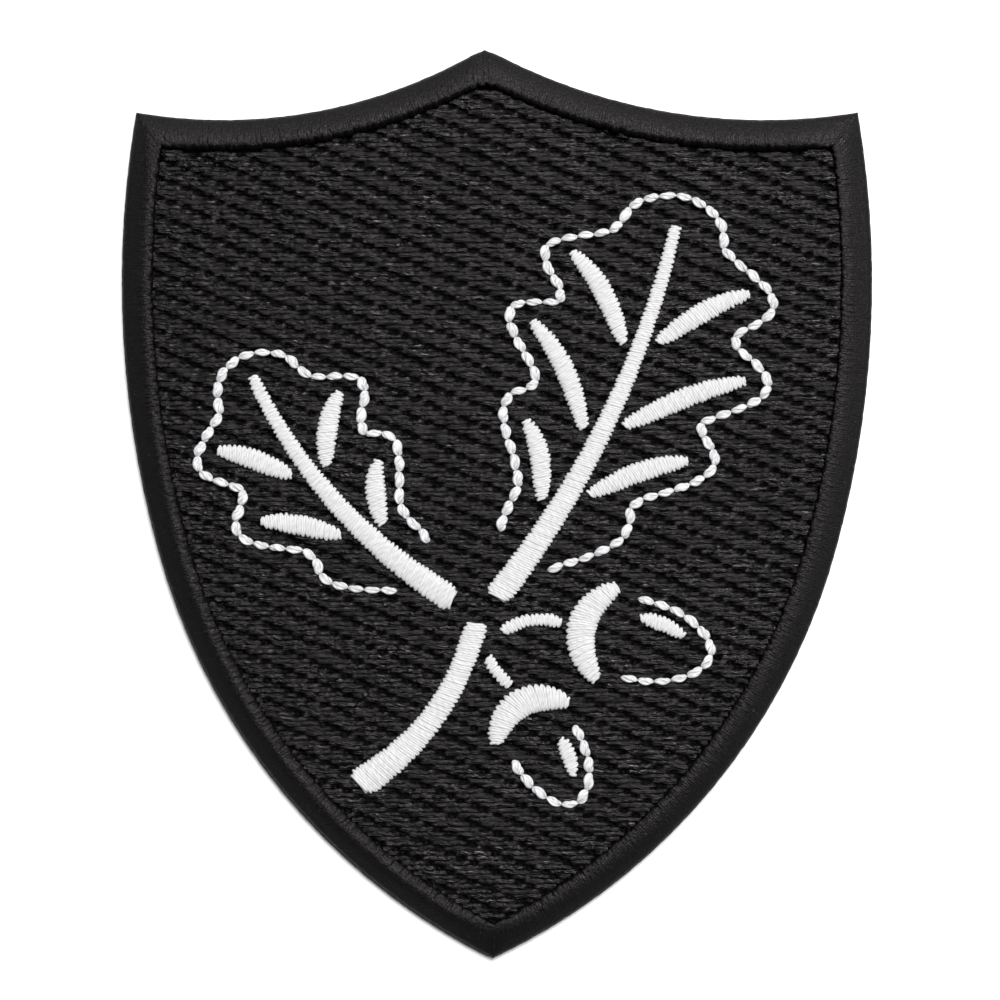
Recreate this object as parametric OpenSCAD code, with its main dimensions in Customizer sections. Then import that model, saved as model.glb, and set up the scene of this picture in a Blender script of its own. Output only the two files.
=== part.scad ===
// Embroidered patch: a shield of dark cloth filled with dark stitching, a padded satin border,
// and a sprig of oak in light thread. It lies flat with its back on z = 0 and its peak towards +Y.

/* [Shield] */
// Height from the peak to the foot
shield_h = 89; // [84:1:120]
// Width at the widest line
shield_w = 73.4; // [70:0.2:100]
// Depth of the widest line below the peak
widest_drop = 22.9; // [18:0.1:28]
// Depth of the two shoulders below the peak
shoulder_drop = 6.3; // [4:0.1:9]
// Depth where the flanks start to turn in towards the foot
turn_drop = 49.9; // [44:0.1:54]
// Radius of the flanks down to that turn
flank_r = 98.2; // [85:0.1:140]
// Hollow of the two top edges below a straight line from shoulder to peak
top_sag = 3.1; // [1:0.1:5]
// Sideways place of the peak
peak_lean = -1.2; // [-3:0.1:3]
// Sideways place of the foot
foot_lean = -0.4; // [-3:0.1:3]

/* [Layers] */
// Thickness of the cloth under the stitching
cloth_t = 1; // [0.6:0.1:2]
// Thickness of the layer of filling stitches
fill_t = 0.5; // [0.3:0.05:1]
// Gap between the filling stitches and the border
fill_gap = 0.1; // [0.05:0.05:0.5]

/* [Border] */
// Width of the satin border
border_w = 2.9; // [2:0.1:4]
// Height of the border above the cloth
border_h = 1.2; // [0.8:0.05:2]
// Rise of the border's rounded top from its sides to its middle
border_crown = 0.7; // [0.3:0.05:0.75]
// Bare cloth left outside the border
cut_edge = 0.15; // [0.05:0.05:0.5]

/* [Emblem] */
// Clear ground between the border and the emblem at the sides
emblem_side = 4.5; // [4:0.1:8]
// Clear ground between the border and the emblem at the top
emblem_top = 4.2; // [3.5:0.1:8]
// Height of the emblem's foot above the shield's foot
emblem_foot = 16.5; // [15:0.1:20]
// Length of one stitch of the outlines
stitch_l = 1.6; // [1.3:0.05:2]
// Width of the stitched outlines
outline_w = 0.95; // [0.6:0.05:1.1]
// Height of the stitched outlines above the filling
outline_h = 0.45; // [0.3:0.05:0.8]
// Width of a leaf's rib at its foot
satin_w = 2.6; // [2:0.05:2.8]
// Height of the satin strokes above the filling
satin_h = 0.55; // [0.35:0.05:0.9]
// Smallest gap between two satin strokes that meet
stroke_gap = 0.3; // [0.2:0.05:0.5]
// Clear ground between a leaf's rib and the two ends of its outline
leaf_gap = 0.5; // [0.3:0.05:1]
// Clear ground between a vein's tip and the leaf's outline
vein_gap = 1.6; // [1:0.1:2]
// Clear ground between an acorn's cup and the outline of its nut
nut_gap = 1.6; // [1:0.1:2]
// Clear ground between that outline and the gleam inside it
gleam_gap = 0.6; // [0.3:0.05:0.9]

/* [Hidden] */

function unit(v) = v / norm(v);
function across(v) = [-v.y, v.x];

// Shield: corners, arc centres and radii. Throughout, s is 1 on the right and -1 on the left.
peak_y = shield_h / 2;
peak = [peak_lean, peak_y];
foot = [foot_lean, -peak_y];
shoulder_y = peak_y - shoulder_drop;
widest_y = peak_y - widest_drop;
turn_y = peak_y - turn_drop;
flank_x = shield_w / 2 - flank_r;
function on_flank(y) = flank_x + sqrt(flank_r ^ 2 - (y - widest_y) ^ 2);
function shoulder(s) = [s * on_flank(shoulder_y), shoulder_y];
function turn(s) = [s * on_flank(turn_y), turn_y];
function flank_c(s) = [s * flank_x, widest_y];
function turn_in(s) = unit(flank_c(s) - turn(s));
function low_r(s) = let (d = foot - turn(s)) d * d / (2 * d * turn_in(s));
function low_c(s) = turn(s) + turn_in(s) * low_r(s);
function top_r(s) = let (c = norm(peak - shoulder(s))) (c ^ 2 / 4 + top_sag ^ 2) / (2 * top_sag);
function top_c(s) = (peak + shoulder(s)) / 2
    - s * across(unit(peak - shoulder(s))) * (top_r(s) - top_sag);

// The point near p where two circles meet
function meet(c1, r1, c2, r2, p) =
    let (d = norm(c2 - c1), u = unit(c2 - c1), a = (r1 ^ 2 - r2 ^ 2 + d ^ 2) / (2 * d))
    let (h = sqrt(r1 ^ 2 - a ^ 2), one = c1 + a * u + h * across(u), two = c1 + a * u - h * across(u))
    norm(one - p) < norm(two - p) ? one : two;

// The shield's corners and arcs at the distance d inside its edge
function peak_at(d) = meet(top_c(-1), top_r(-1) + d, top_c(1), top_r(1) + d, peak);
function foot_at(d) = meet(low_c(-1), low_r(-1) - d, low_c(1), low_r(1) - d, foot);
function shoulder_at(s, d) = meet(top_c(s), top_r(s) + d, flank_c(s), flank_r - d, shoulder(s));
function turn_at(s, d) = turn(s) + turn_in(s) * d;
function arc(c, a, b, n) = let (from = a - c, to = b - c)
    let (start = atan2(from.y, from.x), turned = atan2(from.x * to.y - from.y * to.x, from * to))
    [for (i = [0:n - 1]) c + norm(from) * [cos(start + turned * i / n), sin(start + turned * i / n)]];
function shield_loop(d) = concat(
    arc(top_c(1), peak_at(d), shoulder_at(1, d), 14),
    arc(flank_c(1), shoulder_at(1, d), turn_at(1, d), 14),
    arc(low_c(1), turn_at(1, d), foot_at(d), 18),
    arc(low_c(-1), foot_at(d), turn_at(-1, d), 18),
    arc(flank_c(-1), turn_at(-1, d), shoulder_at(-1, d), 14),
    arc(top_c(-1), shoulder_at(-1, d), peak_at(d), 14));

// Emblem: a box, and points given as shares of its half width and half height
fill_top = cloth_t + fill_t;
emblem_x = shield_w / 2 - cut_edge - border_w - emblem_side;
emblem_hi = shoulder_y - top_sag - emblem_top;
emblem_lo = -peak_y + emblem_foot;
emblem_c = (emblem_hi + emblem_lo) / 2;
emblem_y = (emblem_hi - emblem_lo) / 2;
function place(p) = [p.x * emblem_x, emblem_c + p.y * emblem_y];

// The strokes gather round one fork, each at its own offset from it as a share of satin_w
FORK = [-0.07, -0.41];
function from_fork(p) = place(FORK) + satin_w * p;

// Leaves, with their columns named by the functions below the table
LARGE = [[0.785, 0.566], [0.62, 0.97], -0.06, 0.31, 4.6, 0.28, 0.5, 0.42];
SMALL = [[-0.897, 0.453], [-0.85, 0.44], 0.08, 0.31, 3.6, -0.28, 0.5, 0.42];
function leaf_foot(l) = from_fork(l[0]);
function leaf_tip(l) = place(l[1]);
function rib_bow(l) = l[2]; // share of the leaf's length
function half_share(l) = l[3]; // half width as a share of the length
function lobes(l) = l[4]; // lobes to a side
function lead(l) = l[5]; // how far one side's lobes lead the other's, in lobes
function notch(l) = l[6]; // depth of a notch as a share of the half width
function sweep(l) = l[7]; // lean of the lobes towards the tip
rib_end = 0.93; // share of the leaf's length at which its rib stops
notch_round = 0.3; // 0 for sharp notches between the lobes, more for round ones
vein_rake = 0.12; // lean of a vein towards the tip beyond the sweep of its lobe
vein_arch = 0.02; // arch of a vein as a share of the leaf's length

// Acorns, with their columns named by the functions below the table
SIDE = [[1.008, -0.736], [0.235, -0.45], [0.74, -0.56], 0.12, 0.62];
HANGING = [[0.449, -1.699], [0.055, -0.67], [0.28, -1.06], -0.06, 0.62];
function stalk_foot(a) = from_fork(a[0]);
function cup_top(a) = place(a[1]);
function nut_tip(a) = place(a[2]);
function stalk_bow(a) = a[3]; // share of the stalk's length
function wide_share(a) = a[4]; // width as a share of the length
cup_depth = 0.17; // share of the acorn's length
nut_end = 0.96; // share of the acorn's length
nut_half = 0.42; // share of the acorn's width
gleam_run = [0.08, 0.62]; // shares of the nut's length

// Stem: its foot's place, its top's offset from the fork, and its bow
stem_foot = [-0.46, -0.98];
stem_top = [0, -0.453];
stem_bow = -0.1;

// Widths of the strokes at their start, middle and end, as shares of satin_w
RIB = [1, 0.69, 0.43];
VEIN = [0.4, 0.74, 0.35];
STEM = [1.2, 0.88, 0.88];
STALK = [0.46, 0.42, 0.46];
CUP = [0.5, 1.08, 0.5];
GLEAM = [0.34, 0.54, 0.27];
function taper(t, w) = w[0] * (1 - t) * (1 - 2 * t) + 4 * w[1] * t * (1 - t) + w[2] * t * (2 * t - 1);

// Section of a raised stroke: share of its half width, share of its height
SECTION = [[-1, 0], [-0.92, 0.45], [-0.55, 0.86], [0, 1], [0.55, 0.86], [0.92, 0.45], [1, 0]];

function bowed(a, b, bow, t) = a + t * (b - a) + 4 * bow * t * (1 - t) * across(b - a);

// Leaf l at share u of its length, on side s of its rib
function leaf_run(l) = leaf_tip(l) - leaf_foot(l);
function leaf_l(l) = norm(leaf_run(l));
function rib_at(l, u) = bowed(leaf_foot(l), leaf_tip(l), rib_bow(l), u);
function rib_side(l, u) = across(unit(leaf_run(l) + 4 * rib_bow(l) * (1 - 2 * u) * across(leaf_run(l))));
function beside_rib(l, u, v, s) = rib_at(l, u) + s * v * rib_side(l, u);
function envelope(l, u) = half_share(l) * leaf_l(l) * max(0, sin(180 * u ^ 1.35)) ^ 0.62;
function lobe(l, u, s) = let (w = sin(180 * (lobes(l) - lead(l) * s) * (u - 1) + 90))
    sqrt((w ^ 2 + notch_round ^ 2) / (1 + notch_round ^ 2));
function leaf_v(l, u, s) = envelope(l, u) * (1 - notch(l) * (1 - lobe(l, u, s)));
function swept(l, u, v) = u + sweep(l) * v / leaf_l(l) * (1 - u) ^ 0.7;
function leaf_edge(l, u, s) = let (v = leaf_v(l, u, s)) beside_rib(l, swept(l, u, v), v, s);

// Where the outline starts: the first place that clears the rib on both sides
rib_clear = satin_w * RIB[0] / 2 + leaf_gap + outline_w / 2;
function opening(l, u = 0.02) = u > 0.5 || min(leaf_v(l, u, 1), leaf_v(l, u, -1)) > rib_clear
    ? u : opening(l, u + 0.005);
function leaf_loop(l) = let (n = 120, o = opening(l))
    [for (i = [-n:n]) leaf_edge(l, 1 - (1 - o) * abs(i) / n, i < 0 ? 1 : -1)];

// A point of acorn a: x along it from the top of its cup and y across it, both in mm
function acorn_l(a) = norm(nut_tip(a) - cup_top(a));
function in_acorn(a, x, y) = let (d = unit(nut_tip(a) - cup_top(a)))
    cup_top(a) + x * d + y * across(d);
function acorn_w(a) = wide_share(a) * acorn_l(a);
function cup_crest() = satin_w * CUP[1] / 2;
function nut_from(a) = cup_crest() + cup_depth * acorn_l(a) + satin_w * CUP[2] / 2 + nut_gap;
function nut_x(a, q) = nut_from(a) + (nut_end * acorn_l(a) - nut_from(a)) * q;
function nut_y(a, q) = nut_half * acorn_w(a) * (1 - q ^ 2.4) ^ 0.6;

// Sideways direction at each point of the path p, longer where the path turns
function leans(p) = [for (i = [0:len(p) - 1])
    let (a = unit(across(p[min(i + 1, len(p) - 1)] - p[min(i, len(p) - 2)])))
    let (b = unit(across(p[max(i, 1)] - p[max(i - 1, 0)])))
    (a + b) / (1 + max(a * b, -0.4))];

// A raised band on the filling along the points p, with widths w and heights h
module band(p, w, h) {
    m = len(SECTION);
    n = len(p);
    side = leans(p);
    points = [for (i = [0:n - 1]) for (q = SECTION)
        [p[i].x + side[i].x * q.x * w[i] / 2, p[i].y + side[i].y * q.x * w[i] / 2, fill_top + q.y * h[i]]];
    walls = [for (i = [0:n - 2]) for (j = [0:m - 1])
        let (a = i * m + j, b = i * m + (j + 1) % m)
        for (f = [[a, b, a + m], [b, b + m, a + m]]) f];
    first = [for (j = [1:m - 2]) [0, j + 1, j]];
    last = [for (j = [1:m - 2]) [(n - 1) * m, (n - 1) * m + j, (n - 1) * m + j + 1]];
    polyhedron(points = points, faces = concat(walls, first, last));
}

module satin_stroke(p, shares) {
    n = len(p) - 1;
    w = [for (i = [0:n]) satin_w * taper(i / n, shares)];
    h = [for (i = [0:n]) satin_h * min(1, 0.6 + 3.2 * min(i, n - i) / n)];
    color("white") band(p, w, h);
}

// An outline of straight stitches along the points p
module outline(p) {
    run = [for (i = 0, s = 0; i < len(p); s = s + norm(p[min(i + 1, len(p) - 1)] - p[i]), i = i + 1) s];
    xs = [for (i = [0:len(p) - 1]) [run[i], p[i].x]];
    ys = [for (i = [0:len(p) - 1]) [run[i], p[i].y]];
    whole = run[len(p) - 1];
    n = round(whole / stitch_l);
    q = [for (i = [0:n]) [lookup(whole * i / n, xs), lookup(whole * i / n, ys)]];
    color("white") band(q, [for (i = [0:n]) outline_w], [for (i = [0:n]) outline_h]);
}

module leaf_outline(l) {
    outline(leaf_loop(l));
}

module leaf_rib(l) {
    n = 24;
    satin_stroke([for (i = [0:n]) rib_at(l, rib_end * i / n)], RIB);
}

// The vein in the k-th lobe from the tip, on side s
module leaf_vein(l, k, s) {
    n = 10;
    u = 1 - k / (lobes(l) - lead(l) * s);
    v = envelope(l, u);
    u_out = swept(l, u, v);
    u_in = u_out - (sweep(l) + vein_rake) * v / leaf_l(l) - vein_arch;
    v_in = satin_w * (taper(u_in / rib_end, RIB) + VEIN[0]) / 2 + stroke_gap;
    v_out = v - outline_w / 2 - vein_gap - satin_w * VEIN[2] / 2;
    satin_stroke([for (i = [0:n]) let (t = i / n)
        beside_rib(l, u_in + (u_out - u_in) * t + vein_arch * sin(180 * t), v_in + (v_out - v_in) * t, s)],
        VEIN);
}

module acorn_stalk(a) {
    n = 8;
    end = in_acorn(a, -stroke_gap - satin_w * STALK[2] / 4, 0);
    satin_stroke([for (i = [0:n]) bowed(stalk_foot(a), end, stalk_bow(a), i / n)], STALK);
}

module acorn_cup(a) {
    n = 16;
    satin_stroke([for (i = [0:n]) let (y = 2 * i / n - 1)
        in_acorn(a, cup_crest() + cup_depth * acorn_l(a) * y ^ 2, acorn_w(a) * y / 2)], CUP);
}

module acorn_nut(a) {
    n = 60;
    outline([for (i = [-n:n]) let (q = 1 - abs(i) / n)
        in_acorn(a, nut_x(a, q), (i < 0 ? 1 : -1) * nut_y(a, q))]);
}

module acorn_gleam(a) {
    n = 8;
    inset = outline_w / 2 + gleam_gap + satin_w * GLEAM[1] / 2;
    satin_stroke([for (i = [0:n]) let (q = gleam_run[0] + (gleam_run[1] - gleam_run[0]) * i / n)
        in_acorn(a, nut_x(a, q), nut_y(a, q) - inset)], GLEAM);
}

module base_cloth() {
    color("black") linear_extrude(cloth_t) polygon(shield_loop(0));
}

module ground_fill() {
    color("black") translate([0, 0, cloth_t])
        linear_extrude(fill_t) polygon(shield_loop(cut_edge + border_w + fill_gap));
}

// A ring round the shield with a flat base, two upright sides and a rounded top
module satin_border() {
    shares = [0, 0, 0.08, 0.25, 0.5, 0.75, 0.92, 1, 1];
    m = len(shares);
    loops = [for (q = shares) shield_loop(cut_edge + border_w * q)];
    n = len(loops[0]);
    points = [for (i = [0:n - 1]) for (j = [0:m - 1]) let (q = shares[j], p = loops[j][i])
        [p.x, p.y, cloth_t + (j == 0 || j == m - 1 ? 0 : border_h - border_crown * (2 * q - 1) ^ 2)]];
    faces = [for (i = [0:n - 1]) for (j = [0:m - 1])
        let (i2 = (i + 1) % n, j2 = (j + 1) % m)
        for (f = [[i * m + j, i * m + j2, i2 * m + j], [i * m + j2, i2 * m + j2, i2 * m + j]]) f];
    color("black") polyhedron(points = points, faces = faces);
}

module stem() {
    n = 20;
    satin_stroke([for (i = [0:n]) bowed(place(stem_foot), from_fork(stem_top), stem_bow, i / n)], STEM);
}

module large_leaf_outline() { leaf_outline(LARGE); }
module large_leaf_rib() { leaf_rib(LARGE); }
module large_leaf_vein_1() { leaf_vein(LARGE, 1, 1); }
module large_leaf_vein_2() { leaf_vein(LARGE, 2, 1); }
module large_leaf_vein_3() { leaf_vein(LARGE, 3, 1); }
module large_leaf_vein_4() { leaf_vein(LARGE, 1, -1); }
module large_leaf_vein_5() { leaf_vein(LARGE, 2, -1); }
module large_leaf_vein_6() { leaf_vein(LARGE, 3, -1); }
module small_leaf_outline() { leaf_outline(SMALL); }
module small_leaf_rib() { leaf_rib(SMALL); }
module small_leaf_vein_1() { leaf_vein(SMALL, 1, 1); }
module small_leaf_vein_2() { leaf_vein(SMALL, 2, 1); }
module small_leaf_vein_3() { leaf_vein(SMALL, 1, -1); }
module small_leaf_vein_4() { leaf_vein(SMALL, 2, -1); }
module side_acorn_stalk() { acorn_stalk(SIDE); }
module side_acorn_cup() { acorn_cup(SIDE); }
module side_acorn_nut() { acorn_nut(SIDE); }
module side_acorn_gleam() { acorn_gleam(SIDE); }
module hanging_acorn_stalk() { acorn_stalk(HANGING); }
module hanging_acorn_cup() { acorn_cup(HANGING); }
module hanging_acorn_nut() { acorn_nut(HANGING); }
module hanging_acorn_gleam() { acorn_gleam(HANGING); }

base_cloth();
ground_fill();
satin_border();
stem();
large_leaf_outline();
large_leaf_rib();
large_leaf_vein_1();
large_leaf_vein_2();
large_leaf_vein_3();
large_leaf_vein_4();
large_leaf_vein_5();
large_leaf_vein_6();
small_leaf_outline();
small_leaf_rib();
small_leaf_vein_1();
small_leaf_vein_2();
small_leaf_vein_3();
small_leaf_vein_4();
side_acorn_stalk();
side_acorn_cup();
side_acorn_nut();
side_acorn_gleam();
hanging_acorn_stalk();
hanging_acorn_cup();
hanging_acorn_nut();
hanging_acorn_gleam();
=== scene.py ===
import cmath
import math

import bpy
import numpy as np
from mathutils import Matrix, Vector


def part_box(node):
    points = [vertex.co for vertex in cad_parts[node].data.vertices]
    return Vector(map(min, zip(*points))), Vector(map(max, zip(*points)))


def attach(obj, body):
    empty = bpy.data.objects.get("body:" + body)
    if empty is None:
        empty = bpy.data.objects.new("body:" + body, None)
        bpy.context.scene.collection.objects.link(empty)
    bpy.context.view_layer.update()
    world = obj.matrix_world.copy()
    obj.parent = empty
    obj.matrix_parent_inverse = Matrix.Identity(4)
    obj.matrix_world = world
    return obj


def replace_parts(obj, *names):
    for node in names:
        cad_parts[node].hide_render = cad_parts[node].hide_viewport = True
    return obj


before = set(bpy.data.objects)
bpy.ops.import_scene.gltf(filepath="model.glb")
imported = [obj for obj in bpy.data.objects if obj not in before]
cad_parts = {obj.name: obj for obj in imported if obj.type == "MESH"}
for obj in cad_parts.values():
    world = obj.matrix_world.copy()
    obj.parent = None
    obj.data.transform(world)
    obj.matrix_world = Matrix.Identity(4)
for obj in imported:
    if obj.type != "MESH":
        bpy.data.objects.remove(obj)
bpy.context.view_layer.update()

MM = 0.001
SEED = 7

# Sizes that the solids give
cloth_low, cloth_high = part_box("base_cloth")
shield_w = (cloth_high.x - cloth_low.x) / MM
shield_h = (cloth_high.y - cloth_low.y) / MM
cloth_top = cloth_high.z / MM
fill_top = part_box("ground_fill")[1].z / MM
border_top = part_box("satin_border")[1].z / MM
satin_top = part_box("stem")[1].z / MM
outline_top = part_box("large_leaf_outline")[1].z / MM

# Shield: drops down from its top, radius and sag of its arcs, lean of its ends, widths at its edge
widest_drop = 22.9
shoulder_drop = 6.3
turn_drop = 49.9
flank_r = 98.2
top_sag = 3.1
peak_lean = -1.2
foot_lean = -0.4
cut_edge = 0.15
border_w = 2.9
fill_gap = 0.1
peak_round = 0.2
peak_round_run = 0.8
beyond = 99

# Emblem
emblem_side = 4.5
emblem_top = 4.2
emblem_foot = 16.5
stitch_l = 1.6
outline_w = 0.95
satin_w = 2.6
stroke_gap = 0.3
leaf_gap = 0.5
vein_gap = 1.6
nut_gap = 1.6
gleam_gap = 0.6
FORK = (-0.07, -0.41)
STEM_FOOT = (-0.46, -0.98)
STEM_TOP = (0, -0.453)
stem_bow = -0.1

# Leaves: foot's offset from the fork in satin_w, tip in the emblem's box, bow, half width as a
# share of the length, lobes, lead, notch, sweep
LEAVES = {
    "large_leaf": ((0.785, 0.566), (0.62, 0.97), -0.06, 0.31, 4.6, 0.28, 0.5, 0.42),
    "small_leaf": ((-0.897, 0.453), (-0.85, 0.44), 0.08, 0.31, 3.6, -0.28, 0.5, 0.42),
}
# Veins: lobe counted from the tip, and side
VEINS = {
    "large_leaf": ((1, 1), (2, 1), (3, 1), (1, -1), (2, -1), (3, -1)),
    "small_leaf": ((1, 1), (2, 1), (1, -1), (2, -1)),
}
rib_end = 0.93
leaf_skew = 1.35
leaf_full = 0.62
sweep_fade = 0.7
notch_round = 0.3
vein_rake = 0.12
vein_arch = 0.02

# Acorns: stalk foot's offset from the fork in satin_w, cup's top, nut's tip, stalk's bow, width
ACORNS = {
    "side_acorn": ((1.008, -0.736), (0.235, -0.45), (0.74, -0.56), 0.12, 0.62),
    "hanging_acorn": ((0.449, -1.699), (0.055, -0.67), (0.28, -1.06), -0.06, 0.62),
}
cup_depth = 0.17
nut_end = 0.96
nut_half = 0.42
nut_square = 2.4
nut_full = 0.6
gleam_run = (0.08, 0.62)

# Widths of the strokes at their start, middle and end, as shares of satin_w
RIB = (1, 0.69, 0.43)
VEIN = (0.4, 0.74, 0.35)
STEM = (1.2, 0.88, 0.88)
STALK = (0.46, 0.42, 0.46)
CUP = (0.5, 1.08, 0.5)
GLEAM = (0.34, 0.54, 0.27)

# Threads: twist of their plies and how it slips, their tips, and their clearance below a piece's top
twist_mm = 0.95
ply_slip = 0.3
ply_slip_wave = 3.4
ply_start = 7.0
tip_share = 0.3
top_turn = 0.25
top_clear = 0.01

# Filling: rows of long stitches, each row a quarter stitch further right than the one above it
row_pitch = 0.467
stitch_long = 4.52
row_shift = stitch_long / 4
row_half_w = 0.36
row_half_h = 0.11
row_low = 0.05
row_least = 6
row_reach = (0.01, 0.07)
row_edge_run = 0.04
row_end = 0.025
row_loop_step = 0.5
ring_step = 0.2
row_groove = 0.05
FILL_BANDS = {"fill_low": (-60, -4), "fill_middle": (-4, 16), "fill_high": (16, 60)}

# Needle holes: how far they stray, their width and reach, and how thin a thread gets in one
needle_slip = 0.24
needle_wide = (0.65, 1.25)
needle_run = 0.4
needle_thin = 0.75

# Beside a hole in the row above or below: how far a thread leans, rises, narrows and thickens
beside_run = 0.4
beside_lean = 0.03
beside_rise = 0.02
beside_narrow = 0.24
beside_thicken = 0.2

# Slack of each stitch aside, in height and in thickness, and slow curves as (size, wave)
slack_aside = 0.05
slack_lift = 0.03
slack_thick = 0.06
row_wave = (0.015, 0.9)
aside_wave = (0.045, 2.6)
lift_wave = (0.02, 1.7)
thick_wave = (0.05, 1.3)

# Border's threads, and the shares of its width at which each has a ring
border_pitch = 0.25
border_thick = 0.055
border_overlap = 1.15
border_narrow = 0.6
border_low = 0.04
border_slip = 0.08
border_sink = 0.01
border_reach = (-0.14, 0.05)
reach_most = 0.08
tuft_reach = 1.2
tuft_waves = ((0.05, 1.7), (0.035, 0.7))
border_fan = 6.0
fan_step = 0.002
BORDER_SHARES = np.array([0, 0.012, 0.035, 0.12, 0.3, 0.48, 0.64, 0.76, 0.86, 0.9, 0.95, 0.985, 0.996, 1])

# Border's section in shares of its width and height, which changes with the way a side faces. Each
# shift moves the crest outward, each round shortens the straight slope outside the crest, and each
# drop lowers the inner edge. A value below 0 does the reverse.
border_rise = 0.12
border_crest = 0.88
top_shift = 0.02
right_shift = -0.04
low_left_shift = 0.17
low_right_shift = 0.09
border_straight = 0.6
top_round = 0.45
low_right_round = 0.4
right_lower = 0.15
inner_drop = 0.12
right_drop = -0.1
top_drop = 0.28
low_left_drop = 0.2
low_right_drop = 0.12
inner_bend = 1.6
outer_end = 0.03
inner_end = 0.004
corner_soft = 0.22

# Border's padding, and its shares of the border's width
border_pad = 0.13
pad_loop_step = 0.6
pad_end = 0.99
skirt_drop = 0.08
PAD_SHARES = np.array([0.02, 0.04, 0.1, 0.2, 0.35, 0.5, 0.65, 0.78, 0.87, 0.93, 0.965, 0.97, 1])

# Outlines: stray of the holes, shape of the strands between them, and the core beneath
bean_slip = 0.06
bean_plump = 0.84
upright_plump = 0.36
plump_play = 0.05
bean_hidden = 0.05
bean_full = 0.62
upright_full = 0.2
bean_wind = (1.6, 3.0)
bean_low = 0.08
bean_clear = 0.1
bean_lift = 0.08
bean_end = 0.46
bean_flat = 0.95
strand_half = 0.19
core_full = 0.6
core_drop = 0.02
core_end = 0.05
core_wide = 0.62
core_high = 0.8
BEAN_SHARES = np.array([0, 0.05, 0.09, 0.13, 0.18, 0.26, 0.38, 0.5, 0.62, 0.74, 0.82, 0.87, 0.91, 0.95, 1])

# Satin strokes: their holes and threads, how they thin at the ends and teeth, and the pad beneath
hole_pitch = 0.47
satin_lean = 0.2
satin_slip = 0.04
satin_reach = (-0.09, 0.04)
satin_half_w = 0.18
satin_half = 0.13
satin_foot = 0.6
satin_sink = 0.05
satin_arch = 0.6
full_width = 0.8
least_height = 0.5
tooth_run = 0.25
end_pinch = 0.3
end_run = 0.35
stroke_pad_step = 1.2
stroke_pad_inset = 0.3
stroke_pad_least = 0.12
stroke_pad_low = 0.12
stroke_pad_high = 0.24
SATIN_SHARES = np.array([0, 0.03, 0.08, 0.15, 0.25, 0.37, 0.5, 0.63, 0.75, 0.85, 0.92, 0.97, 1])

# Cloth: unevenness of its outline, and its edge as (distance inside, distance from the face)
cloth_loop_step = 0.4
cloth_ragged = 0.008
CLOTH_WAVES = (211, 157, 89, 311)
CLOTH_EDGE = ((0.10, 0.0), (0.03, 0.04), (0.0, 0.16))
twill_rib = 0.62
twill_pick = 0.31

# Materials: range of the filaments' noise, fluff, and how far painted shade darkens the grooves between
# plies and the stretches of thread low in needle holes
grain_range = (0.36, 0.64)
lint_size = 0.21
lint_from = 0.8
lint_gain = 14.0
LINT = (0.5, 0.5, 0.48, 1)
# The next two dim the dark colour into painted shade, in the grooves between plies and low in needle holes
groove_painted_shade = 0.35
sunk_painted_shade = 0.5
sunk_smooth = 0.04
number_rough = 0.14
WARM = (1, 0.94, 0.93, 1)

# Floor and camera
floor_half = 3.0
floor_drop = 0.0001
photo_px = 1000
px_per_mm = 910.5 / 89
shift_px = (-3, 3)
lens = 85.0
sensor = 36.0


def unit(v):
    return v / abs(v)


def dot(a, b):
    return (a * np.conj(b)).real


def rng_for(name):
    """A random source of its own for each piece, the same on every run."""
    return np.random.RandomState(SEED + sum(ord(c) * (i + 1) for i, c in enumerate(name)))


def wander(rng, x, size, wave):
    """A smooth random curve over x, of about the given size, that changes over the length wave."""
    total = np.zeros_like(x, dtype=float)
    for share in (1.0, 0.61, 0.37):
        total = total + np.sin(2 * np.pi * (x / (wave * share) + rng.rand())) * share
    return size * (total / 1.2)


# The shield's corners and arcs
peak_y = shield_h / 2
peak = complex(peak_lean, peak_y)
foot = complex(foot_lean, -peak_y)
shoulder_y = peak_y - shoulder_drop
widest_y = peak_y - widest_drop
turn_y = peak_y - turn_drop
flank_x = shield_w / 2 - flank_r


def on_flank(y):
    return flank_x + math.sqrt(flank_r**2 - (y - widest_y) ** 2)


def shoulder(s):
    return complex(s * on_flank(shoulder_y), shoulder_y)


def turn(s):
    return complex(s * on_flank(turn_y), turn_y)


def flank_c(s):
    return complex(s * flank_x, widest_y)


def turn_in(s):
    return unit(flank_c(s) - turn(s))


def low_r(s):
    d = foot - turn(s)
    return abs(d) ** 2 / (2 * dot(d, turn_in(s)))


def low_c(s):
    return turn(s) + turn_in(s) * low_r(s)


def top_r(s):
    c = abs(peak - shoulder(s))
    return (c**2 / 4 + top_sag**2) / (2 * top_sag)


def top_c(s):
    return (peak + shoulder(s)) / 2 - s * 1j * unit(peak - shoulder(s)) * (top_r(s) - top_sag)


def meet(c1, r1, c2, r2, near):
    """The point near `near` where two circles meet."""
    d = abs(c2 - c1)
    u = (c2 - c1) / d
    a = (r1**2 - r2**2 + d**2) / (2 * d)
    h = math.sqrt(r1**2 - a**2)
    return min(c1 + u * (a + 1j * h), c1 + u * (a - 1j * h), key=lambda p: abs(p - near))


def peak_at(d):
    return meet(top_c(-1), top_r(-1) + d, top_c(1), top_r(1) + d, peak)


def foot_at(d):
    return meet(low_c(-1), low_r(-1) - d, low_c(1), low_r(1) - d, foot)


def shoulder_at(s, d):
    return meet(top_c(s), top_r(s) + d, flank_c(s), flank_r - d, shoulder(s))


def turn_at(s, d):
    return turn(s) + turn_in(s) * d


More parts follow.
